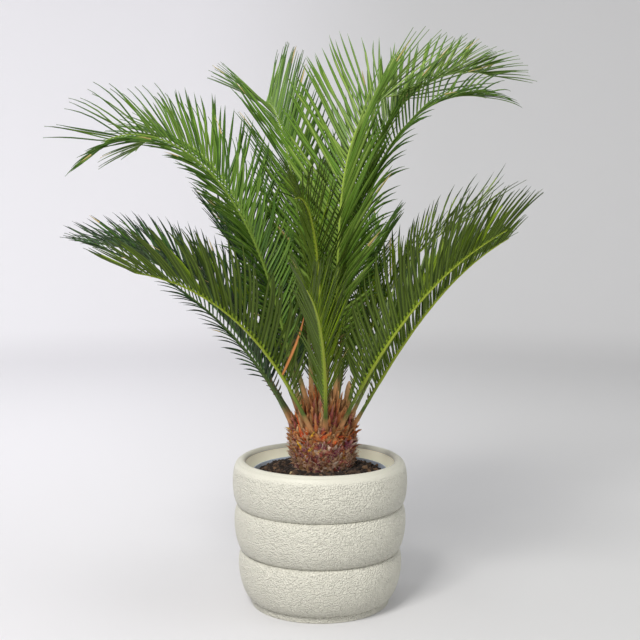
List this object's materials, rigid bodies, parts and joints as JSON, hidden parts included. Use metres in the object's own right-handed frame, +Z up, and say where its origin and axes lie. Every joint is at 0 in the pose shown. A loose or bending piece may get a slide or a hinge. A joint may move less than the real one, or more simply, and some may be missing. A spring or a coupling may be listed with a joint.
{
  "type": "potted sago palm",
  "caption": "Sago palm with a short scaly trunk and a full crown of stiff feather fronds, growing in soil in a round planter of three bulging rings.",
  "frame": {"origin": "centre of the planter's flat underside", "axes": "+Z up, -Y towards the plant's front, the side the picture shows, and +X to the viewer's right"},
  "size_m": [0.718, 0.7369, 0.8401],
  "materials": {
    "pot": "satin ivory glaze over a fine pebbled grain",
    "liner": "moulded blue-grey plastic, satin",
    "soil": "moist crumbly potting mix with a few tan chips",
    "trunk": "overlapping brown and maroon leaf scales, fibrous and matt",
    "bud": "soft tan felt",
    "dry_leaf_base": "dry tan stub, matt",
    "frond": "glossy stiff green leaflets on a yellow-green rib, brown at the stalk's foot"
  },
  "bodies": {
    "root": {"pot": "pot", "liner": "liner", "soil": "soil", "trunk": "trunk", "bud": "bud", "old_leaf_base": "dry_leaf_base", "frond_left_high": "frond", "frond_left_high_end": "frond", "frond_left_high_back": "frond", "frond_left_high_back_end": "frond", "frond_back_left_high": "frond", "frond_back_left_high_end": "frond", "frond_back_right_high": "frond", "frond_back_right_high_end": "frond", "frond_right_high": "frond", "frond_right_high_end": "frond", "frond_right_high_back": "frond", "frond_right_high_back_end": "frond", "frond_front_high": "frond", "frond_front_high_end": "frond", "frond_front_low": "frond", "frond_left_front": "frond", "frond_left_low": "frond", "frond_left_mid": "frond", "frond_left_mid_end": "frond", "frond_left_back": "frond", "frond_left_back_low": "frond", "frond_right_front": "frond", "frond_right_low": "frond", "frond_right_mid": "frond", "frond_right_mid_end": "frond", "frond_right_back_low": "frond", "frond_back_right_mid": "frond", "frond_back_mid": "frond", "frond_back_left_mid": "frond", "frond_back_low": "frond"}
  },
  "joints": []
}
